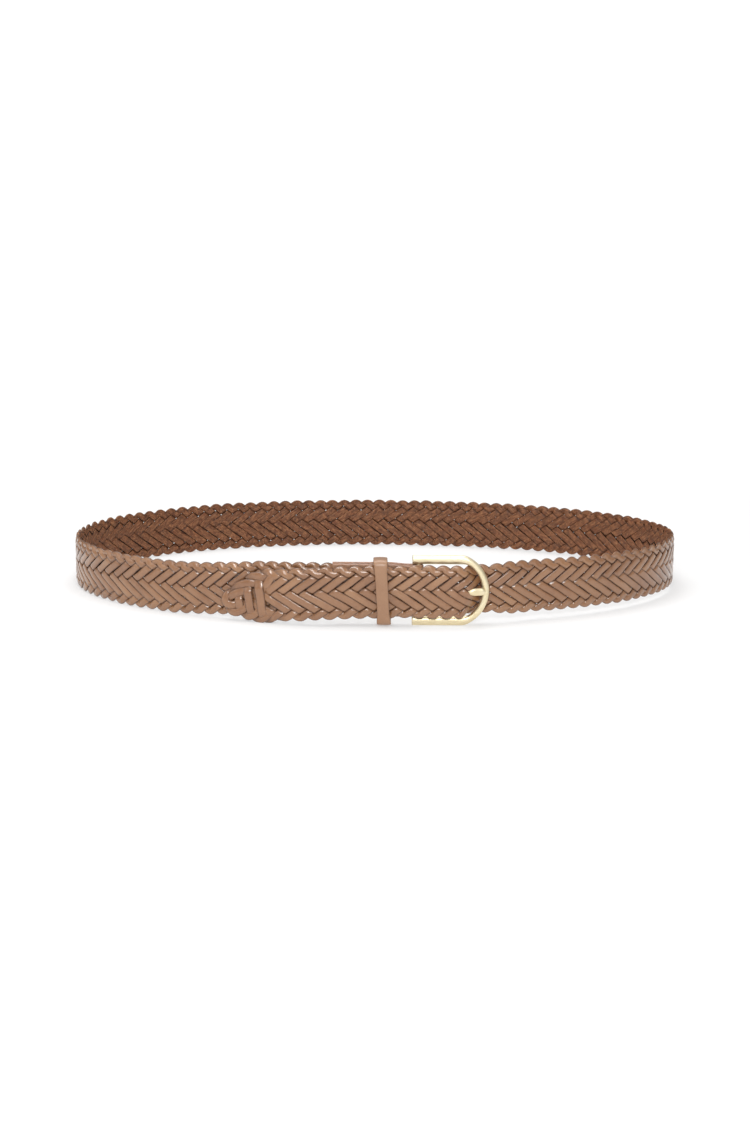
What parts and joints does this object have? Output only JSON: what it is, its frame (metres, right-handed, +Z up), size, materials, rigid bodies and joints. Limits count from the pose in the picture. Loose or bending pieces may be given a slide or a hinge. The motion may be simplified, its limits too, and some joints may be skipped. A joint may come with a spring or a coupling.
{
  "type": "braided leather belt",
  "caption": "Flat braided leather dress belt, buckled into a loop: woven laces, stitched tab, open-ended brass frame buckle with bar and prong, and a loose keeper.",
  "frame": {"origin": "centre of the belt's outline on the table it stands on", "axes": "+X along the front from the free end towards the buckle's curved end, -Y outwards through the buckle, +Z up"},
  "size_m": [0.372, 0.2186, 0.041],
  "materials": {
    "lace_leather": "smooth grain face with a soft sheen, darker rough flesh face",
    "tab_leather": "smooth with painted cut edges",
    "keeper_leather": "smooth with a soft sheen",
    "thread": "waxed twisted thread",
    "brass": "satin pale brass"
  },
  "bodies": {
    "strap": {"strand_01": "lace_leather", "strand_02": "lace_leather", "strand_03": "lace_leather", "strand_04": "lace_leather", "strand_05": "lace_leather", "strand_06": "lace_leather", "strand_07": "lace_leather", "strand_08": "lace_leather", "strand_09": "lace_leather", "strand_10": "lace_leather", "buckle_tab": "tab_leather", "tab_stitches_bar": "thread", "tab_stitches_end": "thread"},
    "buckle": {"buckle_frame": "brass", "buckle_bar": "brass"},
    "prong": {"prong": "brass"},
    "keeper": {"keeper": "keeper_leather", "keeper_staple": "brass"}
  },
  "joints": [
    {"name": "buckle_pivot", "type": "hinge", "parent": "strap", "child": "buckle", "pos_m": [0.025, -0.10175, 0.0205], "axis": [0, 0, 1], "range_deg": [-1, 0.6]},
    {"name": "prong_pivot", "type": "hinge", "parent": "buckle", "child": "prong", "pos_m": [0.025, -0.10175, 0.0205], "axis": [0, 0, -1], "range_deg": [0, 1]},
    {"name": "keeper_slide", "type": "slide", "parent": "strap", "child": "keeper", "axis": [1, 0, 0], "range_m": [-0.016, 0.01]}
  ]
}
